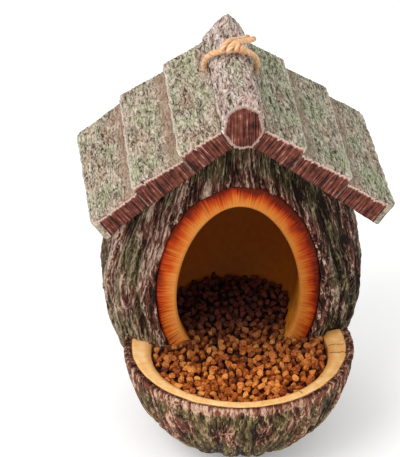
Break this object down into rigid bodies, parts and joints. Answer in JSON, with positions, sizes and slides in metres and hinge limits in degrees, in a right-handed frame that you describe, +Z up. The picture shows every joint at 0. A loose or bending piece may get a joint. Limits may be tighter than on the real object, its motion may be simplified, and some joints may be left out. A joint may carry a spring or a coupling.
{
  "type": "bird feeder",
  "caption": "Rustic log house bird feeder: a hollow barked trunk with a round-topped doorway, a half bowl for the feed in front and a lapped board roof hung by a cord.",
  "frame": {"origin": "middle of the trunk's flat resting face, on the surface that the feeder stands on", "axes": "+Z up, front of the feeder and its bowl towards -Y, +X to the right as seen from the front"},
  "size_m": [0.185, 0.1754, 0.2493],
  "materials": {
    "trunk_bark": "cast resin painted as dark rough bark, dry-brushed pale on its ridges",
    "chamber_wood": "cast resin painted as yellow-brown wood, satin",
    "cut_wood": "cast resin painted as freshly cut wood, red-orange at its edge and yellow inside, satin",
    "pale_wood": "cast resin painted as pale wood, satin",
    "roof_bark": "cast resin painted as grey-green bark with red-brown cut ends",
    "cord": "twisted jute",
    "feed": "dry crumbly feed pellets"
  },
  "bodies": {
    "root": {"trunk": "trunk_bark", "chamber_lining": "chamber_wood", "doorway_ring": "cut_wood", "bowl_shell": "trunk_bark", "bowl_lining": "pale_wood", "ridge_log": "roof_bark", "left_upper_board": "roof_bark", "left_middle_board": "roof_bark", "left_eave_board": "roof_bark", "right_upper_board": "roof_bark", "right_middle_board": "roof_bark", "right_eave_board": "roof_bark", "hanging_cord": "cord", "cord_under_ridge": "cord", "cord_knot": "cord", "feed": "feed"}
  },
  "joints": []
}
